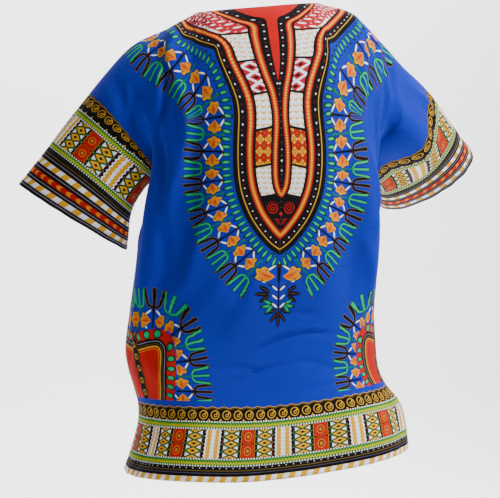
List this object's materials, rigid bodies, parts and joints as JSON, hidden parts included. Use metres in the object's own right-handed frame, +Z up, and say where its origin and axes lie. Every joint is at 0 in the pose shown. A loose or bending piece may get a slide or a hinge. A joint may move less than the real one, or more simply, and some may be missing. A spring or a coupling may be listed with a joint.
{
  "type": "dashiki shirt",
  "caption": "Loose pullover tunic with short wide sleeves, held in its worn shape, blue cotton with a patterned neck panel and borders.",
  "frame": {"origin": "base of the neck, midway between the two neck ends of the shoulder seams, where the wearer's shoulders carry the shirt", "axes": "+Z up along the standing wearer, -Y towards the front of the shirt, +X towards the wearer's left sleeve"},
  "size_m": [0.7932, 0.4194, 0.744],
  "materials": {
    "back_cloth": "woven cotton, printed",
    "front_cloth": "woven cotton, printed"
  },
  "bodies": {
    "root": {"back_panel": "back_cloth", "front_panel": "front_cloth"}
  },
  "joints": []
}
